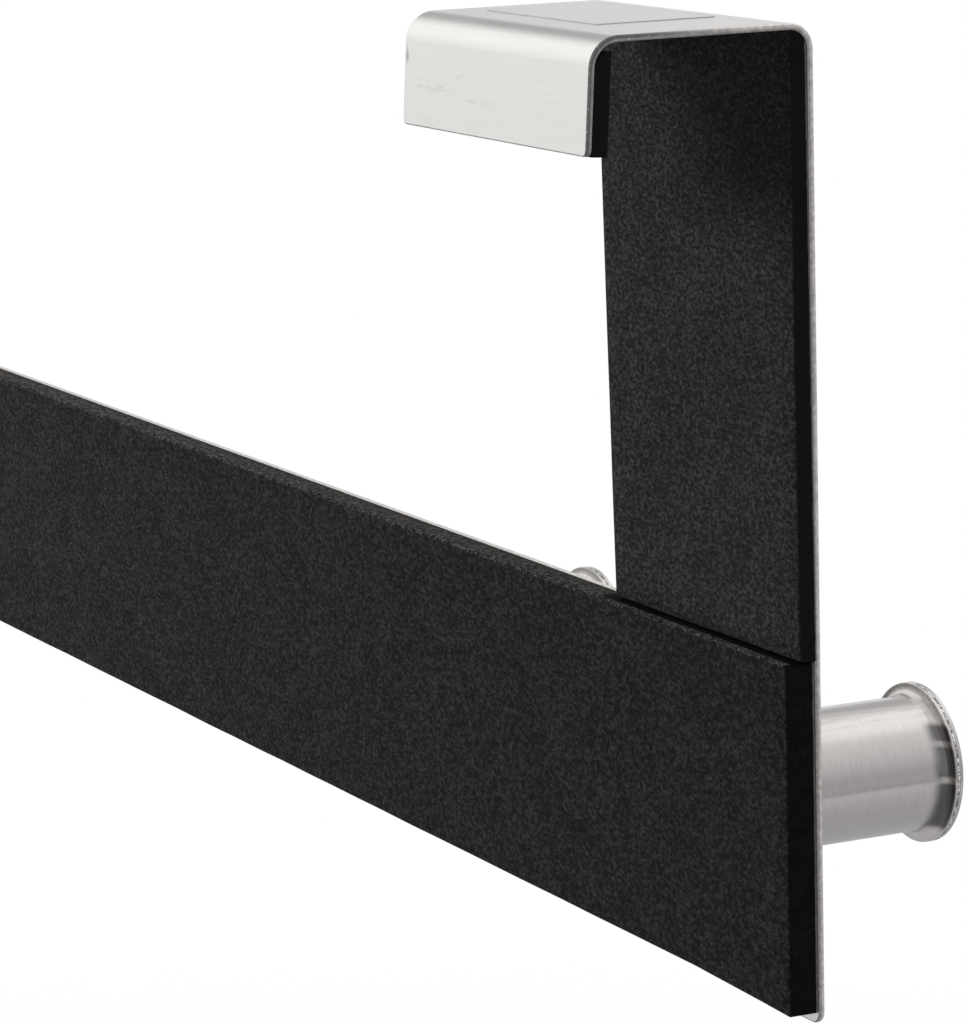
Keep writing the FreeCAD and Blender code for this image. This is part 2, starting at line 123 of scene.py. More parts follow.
class FoamSettings(bpy.types.PropertyGroup):
    """Sizes and finish of the foam."""
    edge_round: length("Edge round", 0.00045, "Round on the foam's face edges")
    corner: length("Corner", 0.0006, "Rounded corners of the rail's foam")
    grid: length("Grid", 0.006, "Spacing of the points that the cut edge wanders by")
    wander: length("Wander", 0.00016, "How far the hand-cut edge wanders")
    swing_outer: length("Outer swing", 0.0012, "Left foam's outer side leans out from head to foot")
    swing_inner: length("Inner swing", 0.0033, "Left foam's inner side leans in from head to foot")
    lip_top: length("Lip top", 0.0029, "How far the lips' foam runs up into the bend")
    lift: length("Lift", 0.0006, "How far the rail foam's foot is cut above its straight line")
    lift_run: length("Lift run", 0.036, "Length over which the foot drops to the near corner")
    lift_drop: factor("Lift drop", 0.5, "How far the near corner drops, against the lift")
    lift_fade: FloatProperty(name="Lift fade", description="Runs until the foot is straight", default=12)
    tape: length("Tape", 0.0003, "Grey adhesive tape at the foam's back")
    skin: colour("Foam", (0.0480, 0.0441, 0.0457), "Face of the foam")
    pore: colour("Pore", (0.0070, 0.0065, 0.0067), "Hollows of the foam's grain")
    # painted glints: pale flecks where raised cell walls catch light
    fleck: colour("Fleck", (0.090, 0.085, 0.086), "Raised cell walls that catch light")
    cut: colour("Cut foam", (0.0090, 0.0088, 0.0092), "Side faces of the foam")
    dust: colour("Dust", (0.096, 0.090, 0.085), "Dust on the rail foam's upper side")
    crust: colour("Crust", (0.010, 0.0096, 0.0090), "Rail foam's upper side under the dust")
    # painted shade: darker band in the crease where the rail foam's upper side meets the steel
    steel_crease_shade: colour("By the steel", (0.020, 0.0205, 0.0185), "Rail foam's upper side along the steel")
    # painted highlight: specks where the rail foam's upper front edge catches light
    edge_highlight: colour("Specks", (0.085, 0.081, 0.078), "Specks along the rail foam's upper edge")
    # painted shade: near black on the rail foam's upper side under the legs' foam
    under_leg_shade: colour("Shut gap", (0.001, 0.001, 0.001), "Rail foam's upper side close under the legs' foam")
    lint: colour("Lint", (0.20, 0.195, 0.19), "Few pale grains of dust on the faces")
    tape_tint: colour("Tape colour", (0.24, 0.235, 0.23), "Adhesive tape at the foam's back")
    rail_shade: factor("Rail shade", 0.76, "Rail foam's face, against the foam's colour")
    leg_shade: factor("Leg shade", 1.14, "Leg and lip foam's faces, against the foam's colour")


class PegSettings(bpy.types.PropertyGroup):
    """Sizes and finish of the pegs."""
    neck: length("Neck", 0.026, "Neck diameter")
    hole: length("Screw hole", 0.0054, "Hole for the screw in the peg's foot")
    wall: length("Wall", 0.0007, "Wall of the drawn peg")
    foot_round: length("Foot round", 0.0007, "Round where the neck meets the rail")
    neck_round: length("Flange round", 0.0018, "Round where the neck meets the flange")
    rim_round: length("Rim round", 0.00012, "Broken edge of the flange and the cap")
    steps: IntProperty(name="Steps", description="Facets round a peg", default=128, min=24, max=256)
    steel: colour("Turned steel", (0.615, 0.595, 0.585), "Turned neck")
    # drawing marks painted on the neck's upper side only: partly the tube's own marks, partly painted
    # reflection streaks
    drawn: colour("Drawing marks", (0.30, 0.285, 0.27), "Streaks along the neck's upper side")
    # painted reflection: dark band mirrored where the neck flares into the flange
    flare_reflection: colour("Flare", (0.07, 0.066, 0.066), "Dark band where the neck flares into the flange")
    weld_dark: colour("Weld, dark", (0.05, 0.048, 0.046), "Hollows of the weld seam")
    weld_bright: colour("Weld, bright", (0.95, 0.93, 0.91), "Beads of the weld seam")
    steel_shade: colour("Turned steel in the grain", (0.555, 0.535, 0.525), "Bottom of the turning marks")
    roughness: factor("Roughness", 0.20, "Roughness of the turned steel")
    zinc: colour("Zinc", (0.66, 0.67, 0.68), "Plated screws and nuts")
    zinc_shade: colour("Zinc, dull", (0.50, 0.51, 0.53), "Dull patches of the plating")
    # where the painted reflection streaks on the neck's upper side begin
    streaks_up: length("Streaks", 0.0095, "Height above the axis from which the neck is streaked")
    # painted glints: bright lines left across the painted dark reflection
    upper_glint: length("Upper glint", 0.0062, "Upper bright line's height above the axis")
    lower_glint: length("Lower glint", 0.0006, "Lower bright line's depth below the axis")


class StageSettings(bpy.types.PropertyGroup):
    """Camera, lamps and floor."""
    focal_pixels: FloatProperty(name="Focal length", description="In pixels of the picture", default=4579.7)
    picture: FloatVectorProperty(name="Picture", description="Width and height in pixels", size=2,
                                 default=(966.0, 1024.0))
    camera_place: FloatVectorProperty(name="Camera", description="Place of the camera", size=3,
                                      default=(-1.064762, 0.385130, 0.066784), subtype="TRANSLATION")
    camera_turn: FloatVectorProperty(name="Turn", description="Turn of the camera", size=3, subtype="EULER",
                                     default=[math.radians(a) for a in (79.32699, 1.47069, -116.39094)])
    floor_drop: length("Floor drop", 0.45, "Floor below the rail's bottom edge")
    floor_size: length("Floor size", 14.0, "Side of the floor")
    pool: length("Pool", 1.3, "Radius within which the floor shows the object's shadow")
    sweep: length("Sweep", 1.9, "Radius at which metal mirrors the edge of the paper")
    floor: colour("Floor", (0.88, 0.88, 0.88), "Pale floor")
    sky: FloatProperty(
        name="Sky", description="Strength of the even light from all round", default=0.26, min=0)
    near_dark: factor("Dark nearby", 0.50, "How much darker metal mirrors the floor under the object")
    sweep_dark: factor("Dark at the sweep", 0.26, "How much darker metal mirrors the floor out at the sweep")
    seam_dark: factor("Seam", 0.5, "How dark metal mirrors the edge of the paper")
    shown_white: FloatProperty(
        name="Shown white", description="Strength of the background that shows", default=1.0)
    key: FloatProperty(name="Key", description="Radiance of the key lamp", default=37.0, min=0)
    key_bearing: angle("Key bearing", 43.5, "Key lamp's bearing from the near end, turned from +X")
    key_height: angle("Key height", 17.0, "Key lamp's height above the near end")
    key_away: length("Key distance", 1.3, "Key lamp's distance from what it faces")
    key_size: FloatVectorProperty(name="Key size", description="Sides of the key lamp", size=2,
                                  default=(0.50, 0.30))
    aim: FloatVectorProperty(name="Aim", description="What the lamps face, from the near end", size=3,
                             default=(0.04, 0.0, -0.08), subtype="TRANSLATION")
    overhead: FloatProperty(name="Overhead", description="Radiance of the overhead lamp", default=0.9, min=0)
    overhead_bearing: angle("Overhead bearing", -110.0, "Overhead lamp's bearing, turned from +X")
    overhead_height: angle("Overhead height", 68.0, "Overhead lamp's height")
    overhead_away: length("Overhead distance", 1.5, "Overhead lamp's distance from what it faces")
    overhead_size: FloatVectorProperty(name="Overhead size", description="Sides of the overhead lamp", size=2,
                                       default=(1.2, 1.0))
    far_wall: factor("Far wall", 0.96, "Mirrored room on the pegs' side, against white")
    flag: factor("Flag", 0.60, "How much darker the mirrored room is between horizon and ceiling")
    dusk: factor("Dusk", 0.60, "How fast the wall that the pegs mirror darkens upwards from the floor's side")
    lip_card: factor("Lip card", 0.19, "Lit card mirrored in the bend over the lips")
    peg_card: factor("Peg card", 0.38, "Lit card mirrored along the pegs' upper side")
    lip_card_way: FloatVectorProperty(name="Lip card's way", description="Direction of the lips' card",
                                      size=3, default=(0.883, 0.24, 0.40), subtype="DIRECTION")
    peg_card_way: FloatVectorProperty(name="Peg card's way", description="Direction of the pegs' card",
                                      size=3, default=(0.10, -0.49, 0.86), subtype="DIRECTION")


class Value:
    """A number or colour that varies over a surface; sums on it add nodes."""

    def __init__(self, finish, socket):
        self.finish = finish
        self.socket = socket

    def _math(self, operation, *terms):
        return self.finish.node("ShaderNodeMath", {"operation": operation}, dict(enumerate(terms)))

    def __add__(self, other):
        return self._math("ADD", self, other)

    def __radd__(self, other):
        return self._math("ADD", other, self)

    def __sub__(self, other):
        return self._math("SUBTRACT", self, other)

    def __rsub__(self, other):
        return self._math("SUBTRACT", other, self)

    def __mul__(self, other):
        return self._math("MULTIPLY", self, other)

    def __rmul__(self, other):
        return self._math("MULTIPLY", other, self)

    def __truediv__(self, other):
        return self._math("DIVIDE", self, other)

    def __rtruediv__(self, other):
        return self._math("DIVIDE", other, self)

    def __pow__(self, other):
        return self._math("POWER", self, other)

    def __rpow__(self, other):
        return self._math("POWER", other, self)

    def __abs__(self):
        return self._math("ABSOLUTE", self)

    def root(self):
        return self._math("SQRT", self)

    def at_least(self, other):
        return self._math("MAXIMUM", self, other)

    def at_most(self, other):
        return self._math("MINIMUM", self, other)

    def ramp(self, start, end, low=0.0, high=1.0):
        """Runs smoothly from low to high as this value goes from start to end."""
        return self.finish.node("ShaderNodeMapRange", {"interpolation_type": "SMOOTHSTEP", "clamp": True}, {
            "Value": self, "From Min": start, "From Max": end, "To Min": low, "To Max": high})


class Finish:
    """One material, or the world, while its nodes are being joined."""

    def __init__(self, owner):
        owner.use_nodes = True
        self.tree = owner.node_tree
        self.tree.nodes.clear()

    def node(self, kind, settings=None, sockets=None, output=0):
        """Add a node: its settings first, then the values or links of its sockets."""
        node = self.tree.nodes.new(kind)
        for name, value in (settings or {}).items():
            setattr(node, name, value)
        for key, value in (sockets or {}).items():
            target = node.inputs[key]
            if isinstance(value, Value):
                self.tree.links.new(value.socket, target)
            else:
                target.default_value = value
        return Value(self, node.outputs[output]) if node.outputs else None

    def part(self, value, output):
        """Another output of the node that a value comes from."""
        return Value(self, value.socket.node.outputs[output])

    def place(self):
        """Object coordinates, with their X, Y and Z as numbers."""
        spot = self.node("ShaderNodeTexCoord", output="Object")
        split = self.node("ShaderNodeSeparateXYZ", sockets={0: spot})
        return spot, split, self.part(split, 1), self.part(split, 2)

    def point(self, x, y, z):
        """A place put together from three numbers."""
        return self.node("ShaderNodeCombineXYZ", sockets={0: x, 1: y, 2: z})

    def noise(self, at, scale, detail=2.0, roughness=0.5, distortion=0.0):
        """Smooth noise from 0 to 1."""
        return self.node("ShaderNodeTexNoise", sockets={
            "Vector": at, "Scale": scale, "Detail": detail, "Roughness": roughness, "Distortion": distortion})

    def stretched(self, x, y, z, shares, scale, detail=2.0, roughness=0.55):
        """Noise drawn out into streaks: shares say how quickly it changes along each axis."""
        at = self.point(x * shares[0], y * shares[1], z * shares[2])
        return self.noise(at, scale, detail, roughness)

    def mix(self, share, first, second, blend="MIX"):
        """Blend two colours."""
        return self.node("ShaderNodeMix", {"data_type": "RGBA", "blend_type": blend}, {
            0: share, 6: first, 7: second}, output=2)

    def bump(self, height, strength, distance):
        """A normal tilted by a relief."""
        return self.node(
            "ShaderNodeBump", sockets={"Height": height, "Strength": strength, "Distance": distance})

    def surface(self, **inputs):
        """Close the material with one shader; underscores in names stand for spaces."""
        shader = self.node("ShaderNodeBsdfPrincipled", sockets={
            name.replace("_", " "): value for name, value in inputs.items()})
        self.node("ShaderNodeOutputMaterial", sockets={"Surface": shader})


def rgba(tint, shade=1.0):
    """A colour for a socket, made darker or paler by a factor."""
    return (*(part * shade for part in tint), 1.0)


def material(name):
    """A new material, and what joins its nodes."""
    made = bpy.data.materials.new(name)
    return made, Finish(made)


def brushed_sheet(sheet):
    """Steel brushed along the rail, with fine scratches, smudges and a few handling marks."""
    made, f = material("brushed_sheet")
    spot, x, y, z = f.place()
    fine = f.stretched(x, y, z, (0.02, 1.0, 1.0), 9000.0, 3.0)
    broad = f.stretched(x, y, z, (0.03, 1.0, 1.0), 1400.0, 2.0)
    cloud = f.noise(spot, 60.0, 3.0)
    smudge = f.noise(spot, 130.0, 4.0, 0.6, 0.4).ramp(0.60, 0.74)
    grain = fine * 0.65 + broad * 0.35
    tint = f.mix(grain.ramp(0.3, 0.7), rgba(sheet.steel_shade), rgba(sheet.steel))
    tint = f.mix(smudge * 0.12, tint, rgba(sheet.cut_steel))
    on_lip = y.ramp(0.019, 0.020)
    inside = SHEET_LOW.x + sheet.leg_width
    from_nick = abs(x - inside + sheet.nick_in) + abs(z + sheet.nick_down) * 0.5 + (cloud - 0.5) * 0.002
    nick = from_nick.ramp(sheet.nick_size, 2 * sheet.nick_size, 1.0, 0.0)
    ragged = (f.noise(spot, 250.0, 2.0) - 0.5) * 0.003
    from_scratch = abs(z + sheet.scratch_down + (x - inside) * -0.055 + ragged)
    scratch_end = inside - sheet.scratch_run
    scratch = from_scratch.ramp(0.00015, 0.0006, 1.0, 0.0) * x.ramp(scratch_end, scratch_end + 0.008)
    marks = (nick * 0.5 + scratch * broad.ramp(0.42, 0.60) * 0.22) * on_lip
    tint = f.mix(marks, tint, rgba(sheet.rubbed))
    f.surface(
        Base_Color=tint, Metallic=1.0,
        Roughness=(fine - 0.5) * 0.06 + (cloud - 0.5) * 0.08 + smudge * 0.05 + sheet.roughness,
        Normal=f.bump(grain, 0.04, 0.00002))
    return made


def through_sheet(sheet, y, z):
    """How far a point on a cut edge lies through the sheet: 0 on the door's side, 1 outside."""
    inner = sheet.front_bend - sheet.wall
    rear_inner = sheet.rear_bend - sheet.wall
    rear_y = DOOR_FACE + sheet.door_gap + sheet.wall - sheet.rear_bend
    lean_y, lean_z = math.cos(sheet.lip_lean), math.sin(sheet.lip_lean)
    front = radius_from((DOOR_FACE + inner) - y, z + inner) - inner
    rear = radius_from((y - rear_y) * lean_y + (z + rear_inner) * lean_z, z + rear_inner) - rear_inner
    behind = y.ramp(-0.0005, 0.0005)
    return (front * (1.0 - behind) + rear * behind) / sheet.wall


def radius_from(across, up):
    """Distance from a bend's centre, counting only the outward sides of it."""
    across, up = across.at_least(0.0), up.at_least(0.0)
    return (across * across + up * up).root()


def cut_edge(sheet):
    """Sheared edge: dull and mottled, paler outside on the leg, darker outside on the lip, with painted
    highlights on the rail's upper edge and the lips' bottom edge.
    """
    steel = sheet.cut_steel
    made, f = material("cut_edge")
    spot, x, y, z = f.place()
    mottle = f.noise(spot, 900.0, 4.0, 0.65)
    fleck = f.noise(spot, 1500.0, 2.0).ramp(0.60, 0.70)
    depth = through_sheet(sheet, y, z) + (mottle - 0.5) * 0.3
    leg = f.mix(depth.ramp(0.0, 0.9), rgba(steel, 0.60), rgba(steel, 1.75))
    lip = f.mix(depth.ramp(0.35, 0.6), rgba(steel, 0.78), rgba(steel, 0.38))
    tint = f.mix(y.ramp(-0.014, 0.016), leg, lip)
    rail_top = SHEET_LOW.z + sheet.rail_height
    between_legs = abs(x).ramp(LEG_INSIDE - 0.0004, LEG_INSIDE - 0.0001, 1.0, 0.0)
    # painted highlight: the rail's upper cut edge between the legs painted paler, as if lit from above
    ledge = z.ramp(rail_top - 0.0003, rail_top - 0.0001) * between_legs
    # painted light: the lips' bottom cut edge painted paler than the rest of the lip's edge
    lip_tip_highlight = z.ramp(-sheet.lip_drop + 0.0005, -sheet.lip_drop + 0.0001) * y.ramp(0.014, 0.016)
    tint = f.mix(ledge * 0.9, tint, rgba(steel, 1.9))
    tint = f.mix(lip_tip_highlight * 0.9, tint, rgba(steel, 1.3))
    tint = f.mix(mottle.ramp(0.35, 0.65), f.mix(0.25, tint, BLACK), tint)
    tint = f.mix(fleck * 0.3, tint, rgba(sheet.steel))
    f.surface(
        Base_Color=tint, Metallic=1.0, Roughness=(mottle - 0.5) * 0.2 + 0.48,
        Normal=f.bump(mottle, 0.5, 0.00006))
    return made


def foam_skin(foam, name, shade):
    """Closed-cell foam's face: dark and matt, with an open grain, painted glints on raised cell walls,
    painted highlight specks along the rail foam's upper edge, and a little dust.
    """
    made, f = material(name)
    spot, x, y, z = f.place()
    grain = f.stretched(x, y, z, (0.62, 1.0, 1.0), 1400.0, 1.0)
    pits = f.stretched(x, y, z, (0.62, 1.0, 1.0), 2300.0, 1.0)
    cloud = f.noise(spot, 70.0, 3.0, 0.6)
    cell_glints = f.noise(spot, 1300.0, 1.0).ramp(0.66, 0.78)
    lint = f.noise(spot, 520.0, 1.0).ramp(0.815, 0.84)
    relief = grain * 0.65 + pits * 0.35
    tint = f.mix(relief.ramp(0.26, 0.80) ** 1.6, rgba(foam.pore, shade), rgba(foam.skin, shade))
    # painted glints: pale flecks where raised cell walls catch light
    tint = f.mix(cell_glints * 0.35, tint, rgba(foam.fleck))
    tint = f.mix(lint * 0.6, tint, rgba(foam.lint))
    # painted highlight: pale specks along the rail foam's upper front edge, where it catches light
    from_top = z - RAIL_PAD_HIGH.z
    rail_top = from_top.ramp(-0.0008, -0.0003) * from_top.ramp(0.0001, 0.0002, 1.0, 0.0)
    tint = f.mix(rail_top * pits.ramp(0.50, 0.66), tint, rgba(foam.edge_highlight))
    uneven = f.mix(cloud.ramp(0.3, 0.7), (0.90, 0.90, 0.90, 1.0), (1.10, 1.10, 1.10, 1.0))
    tint = f.mix(1.0, tint, uneven, "MULTIPLY")
    f.surface(
        Base_Color=tint, Roughness=(pits - 0.5) * 0.2 + 0.86, Specular_IOR_Level=0.06,
        Normal=f.bump(relief, 0.45, 0.00022))
    return made


def cut_foam(foam):
    """Knife-cut side of the foam: darker, with faint lines along the cut and grey tape at the back; on the
    rail foam's upper side dust, painted shade under the legs' foam and painted shade along the steel.
    """
    made, f = material("cut_foam")
    spot, x, y, z = f.place()
    pull = f.stretched(x, y, z, (1.0, 0.15, 0.3), 900.0, 2.0)
    grain = f.noise(spot, 1300.0, 3.0, 0.6)
    ragged = f.noise(spot, 700.0, 2.0)
    tint = f.mix((grain * 0.6 + pull * 0.4).ramp(0.3, 0.75), rgba(foam.cut, 0.5), rgba(foam.cut, 1.7))
    from_top = z - RAIL_PAD_HIGH.z
    leg_foot = from_top.ramp(0.0, 0.0003)
    tint = f.mix(leg_foot * 0.5, tint, rgba(foam.cut, 2.0))
    ledge = from_top.ramp(-0.0003, -0.0001) * (1.0 - leg_foot)
    dust = f.stretched(x, y, z, (0.8, 0.7, 1.0), 1500.0, 2.0).ramp(0.38, 0.68)
    # painted shade: the rail foam's upper side close under the legs' foam, where their shadow falls, painted
    # near black
    proud = y - LEG_FOAM_FACE - ragged * 0.0004
    under_leg_shade = abs(x).ramp(LEG_INSIDE - 0.0006, LEG_INSIDE) * proud.ramp(0.0012, 0.0008)
    crust = f.mix(dust, rgba(foam.crust), rgba(foam.dust))
    # painted shade: darker band in the crease where the rail foam's upper side meets the steel
    steel_crease_shade = (y - DOOR_FACE).ramp(0.0018, 0.0010)
    crust = f.mix(steel_crease_shade * 0.5, crust, rgba(foam.steel_crease_shade))
    tint = f.mix(ledge, tint, f.mix(under_leg_shade, crust, rgba(foam.under_leg_shade)))
    tape = (y + (ragged - 0.5) * 0.0003).ramp(DOOR_FACE + foam.tape, DOOR_FACE + foam.tape * 0.6)
    tint = f.mix(tape * 0.8, tint, rgba(foam.tape_tint))
    f.surface(
        Base_Color=tint, Roughness=(grain - 0.5) * 0.15 + 0.88, Specular_IOR_Level=0.06,
        Normal=f.bump(grain * 0.5 + pull * 0.5, 0.6, 0.0002))
    return made


def turned_peg(pegs):
    """Tube dressed round the neck, its upper side streaked with drawing marks and painted reflection, and a
    painted dark reflection, crossed by painted glint lines, where it flares into the flange.
    """
    made, f = material("turned_peg")
    spot, x, y, z = f.place()
    axis_up = (NECK_LOW.z + NECK_HIGH.z) / 2
    rings = f.stretched(x, y, z, (0.03, 1.0, 0.03), 9000.0, 3.0)
    drawn = f.stretched(x, y, z, (1.0, 0.06, 1.0), 1100.0, 3.0)
    mottle = f.noise(spot, 420.0, 3.0)
    above = z - axis_up + (mottle - 0.5) * 0.0008
    top = above.ramp(pegs.streaks_up, pegs.streaks_up + 0.002)
    from_mouth = y - NECK_LOW.y
    # painted reflection: a dark band where the neck flares into the flange, with two painted glint lines left
    # bright across it
    flare_reflection = (from_mouth + (mottle - 0.5) * 0.0006).ramp(0.0046, 0.0018) * from_mouth.ramp(0.0004, 0.0006)
    upper_glint = abs(above - pegs.upper_glint).ramp(0.0002, 0.0009, 0.45, 0.0)
    lower_glint = abs(above + pegs.lower_glint).ramp(0.0002, 0.0010, 0.70, 0.0)
    side = above.ramp(0.0102, 0.0090) * above.ramp(-0.0118, -0.0100)
    # painted reflection with painted glints: the dark band, less its glint lines
    corner = flare_reflection * side * (1.0 - (upper_glint + lower_glint))
    tint = f.mix(rings.ramp(0.3, 0.7), rgba(pegs.steel_shade), rgba(pegs.steel))
    # drawing marks on the upper side only: partly the tube's own marks, partly painted reflection streaks
    tint = f.mix(drawn.ramp(0.45, 0.60) * top * 0.25, tint, rgba(pegs.drawn))
    tint = f.mix(corner * 0.88, tint, rgba(pegs.flare_reflection))
    f.surface(
        Base_Color=tint, Metallic=1.0,
        Roughness=(rings - 0.5) * 0.05 + (mottle - 0.5) * 0.06 + (drawn - 0.5) * top * 0.2 + pegs.roughness,
        Normal=f.bump(rings, 0.03, 0.00002))
    return made


def welded_rim(pegs):
    """Rim and cap: brushed face, and a bright ragged seam where flange and cap meet."""
    made, f = material("welded_rim")
    spot, x, y, z = f.place()
    fine = f.stretched(x, y, z, (0.03, 1.0, 1.0), 7000.0, 3.0)
    weld = f.noise(spot, 1200.0, 3.0, 0.75)
    seam = abs(y - NECK_LOW.y + (weld - 0.5) * 0.0006).ramp(0.0002, 0.0005, 1.0, 0.0)
    tint = f.mix(fine.ramp(0.3, 0.7), rgba(pegs.steel_shade), rgba(pegs.steel))
    beads = f.mix(weld.ramp(0.46, 0.54), rgba(pegs.weld_dark), rgba(pegs.weld_bright))
    tint = f.mix(seam * 0.8, tint, beads)
    f.surface(
        Base_Color=tint, Metallic=1.0, Roughness=(fine - 0.5) * 0.10 + pegs.roughness,
        Normal=f.bump(weld * seam, 1.0, 0.0003))
    return made


def bright_zinc(pegs):
    """Plated screws and nuts."""
    made, f = material("bright_zinc")
    cloud = f.noise(f.place()[0], 700.0, 3.0)
    tint = f.mix(cloud.ramp(0.3, 0.7), rgba(pegs.zinc_shade), rgba(pegs.zinc))
    f.surface(Base_Color=tint, Metallic=1.0, Roughness=(cloud - 0.5) * 0.2 + 0.34)
    return made


def plain_film(sheet):
    """Thin satin film on the bridge, with a painted shadow line round its edge."""
    made, f = material("plain_film")
    spot, x, y, z = f.place()
    low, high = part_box("top_patch")
    middle, half = (low + high) / 2, (high - low) / 2
    past_side = (abs(x - middle.x) - half.x).at_least(abs(y - middle.y) - half.y)
    # painted shadow: darker line round the film's edge
    edge_shadow = past_side.ramp(-0.00045, -0.00015)
    grain = f.stretched(x, y, z, (0.05, 1.0, 1.0), 3000.0, 2.0)
    cloud = f.noise(spot, 90.0, 2.0)
    tint = f.mix(grain.ramp(0.3, 0.7), rgba(sheet.film_shade), rgba(sheet.film))
    tint = f.mix(edge_shadow * 0.45, tint, rgba(sheet.film_edge_shadow))
    f.surface(Base_Color=tint, Metallic=1.0, Roughness=(cloud - 0.5) * 0.08 + 0.33)
    return made


def finished(bm, name, materials, slot, *nodes):
    """Turn a bmesh into a piece that rides on the part and stands for its CAD nodes."""
    mesh = bpy.data.meshes.new(name)
    bm.to_mesh(mesh)
    bm.free()
    mesh.shade_smooth()
    mesh.set_sharp_from_angle(angle=SMOOTH_BELOW)
    for item in materials:
        mesh.materials.append(item)
    piece = bpy.data.objects.new(name, mesh)
    bpy.context.scene.collection.objects.link(piece)
    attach(piece, "root")
    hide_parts(*nodes)
    return piece


def only(kind, items):
    """The items of one kind, from the mixed list that an operator returns."""
    return [item for item in items if isinstance(item, kind)]


def move_new(bm, result, shift):
    """Move what an extrusion made, and return its far edges."""
    verts = only(bmesh.types.BMVert, result["geom"])
    bmesh.ops.translate(bm, verts=verts, vec=shift)
    fresh = set(verts)
    return [edge for edge in only(bmesh.types.BMEdge, result["geom"]) if set(edge.verts) <= fresh]


def bend(bm, edges, centre, turn, steps):
    """Swing an edge round a bend's centre line, and return where it ends."""
    geometry = list(edges) + [vert for edge in edges for vert in edge.verts]
    result = bmesh.ops.spin(
        bm, geom=geometry, cent=centre, axis=(1.0, 0.0, 0.0), dvec=(0.0, 0.0, 0.0), angle=turn, steps=steps,
        space=Matrix.Identity(4), use_merge=False, use_normal_flip=False, use_duplicate=False)
    return only(bmesh.types.BMEdge, result["geom_last"])


def round_corners(bm, verts, radius, segments=6):
    """Round the corners of a flat face."""
    if verts:
        bmesh.ops.bevel(bm, geom=verts, offset=radius, offset_type="OFFSET", affect="VERTICES",
                        segments=segments, profile=0.5, material=-1)


def near(vert, **place):
    """True when a point lies at the given coordinates."""
    return all(abs(getattr(vert.co, axis) - value) < 1e-6 for axis, value in place.items())


def sheet_surface(sheet):
    """Door-side surface of the sheet: rail and legs in one flat outline, then bend, bridge, bend and lip."""
    end = SHEET_HIGH.x
    inside = end - sheet.leg_width
    foot = SHEET_LOW.z
    rail_top = foot + sheet.rail_height
    front_inner = sheet.front_bend - sheet.wall
    rear_inner = sheet.rear_bend - sheet.wall
    rear_centre = Vector((0.0, DOOR_FACE + sheet.door_gap + sheet.wall - sheet.rear_bend, -rear_inner))
    bm = bmesh.new()
    corners = ((-end, foot), (end, foot), (end, -front_inner), (inside, -front_inner), (inside, rail_top),
               (-inside, rail_top), (-inside, -front_inner), (-end, -front_inner))
    flat = bm.faces.new([bm.verts.new((across, DOOR_FACE, up)) for across, up in corners])
    tops = [edge for edge in flat.edges if all(near(vert, z=-front_inner) for vert in edge.verts)]
    down = Vector((0.0, math.sin(sheet.lip_lean), -math.cos(sheet.lip_lean)))
    for edge in tops:
        edges = bend(bm, [edge], Vector((0.0, DOOR_FACE + front_inner, -front_inner)), -math.pi / 2,
                     sheet.bend_steps)
        flat_run = Vector((0.0, rear_centre.y - DOOR_FACE - front_inner, 0.0))
        edges = move_new(bm, bmesh.ops.extrude_edge_only(bm, edges=edges), flat_run)
        edges = bend(bm, edges, rear_centre, sheet.lip_lean - math.pi / 2, sheet.bend_steps)
        start = edges[0].verts[0].co.z
        reach = (sheet.lip_drop + start) / math.cos(sheet.lip_lean)
        tips = move_new(bm, bmesh.ops.extrude_edge_only(bm, edges=edges), down * reach)
        round_corners(bm, [vert for lip_tip_highlight in tips for vert in lip_tip_highlight.verts], sheet.lip_corner)
    round_corners(bm, [vert for vert in bm.verts if near(vert, z=foot)], sheet.rail_corner)
    round_corners(bm, [vert for vert in bm.verts if near(vert, z=rail_top)], sheet.crook)
    bmesh.ops.recalc_face_normals(bm, faces=bm.faces)
    largest = max(bm.faces, key=lambda face: face.calc_area())
    if largest.normal.y < 0:
        bmesh.ops.reverse_faces(bm, faces=bm.faces)
    return bm


class PEGRAIL_OT_bent_sheet(bpy.types.Operator):
    """Make the bent steel sheet with its broken edges"""
    bl_idname = "peg_rail.bent_sheet"
    bl_label = "Bent sheet"

    def execute(self, context):
        sheet = context.scene.peg_rail_sheet
        piece = finished(sheet_surface(sheet), "bent_sheet", (brushed_sheet(sheet), cut_edge(sheet)),
                         "sheet_steel", "hook_sheet")
        wall = piece.modifiers.new("sheet wall", "SOLIDIFY")
        wall.thickness = sheet.wall
        wall.offset = -1.0
        wall.use_even_offset = True
        wall.material_offset_rim = 1
        broken = piece.modifiers.new("broken edges", "BEVEL")
        broken.width = sheet.edge_break
        broken.segments = 3
        broken.limit_method = "ANGLE"
        broken.angle_limit = CUT_EDGES_FROM
        broken.harden_normals = True
        broken.material = 1
        return {"FINISHED"}


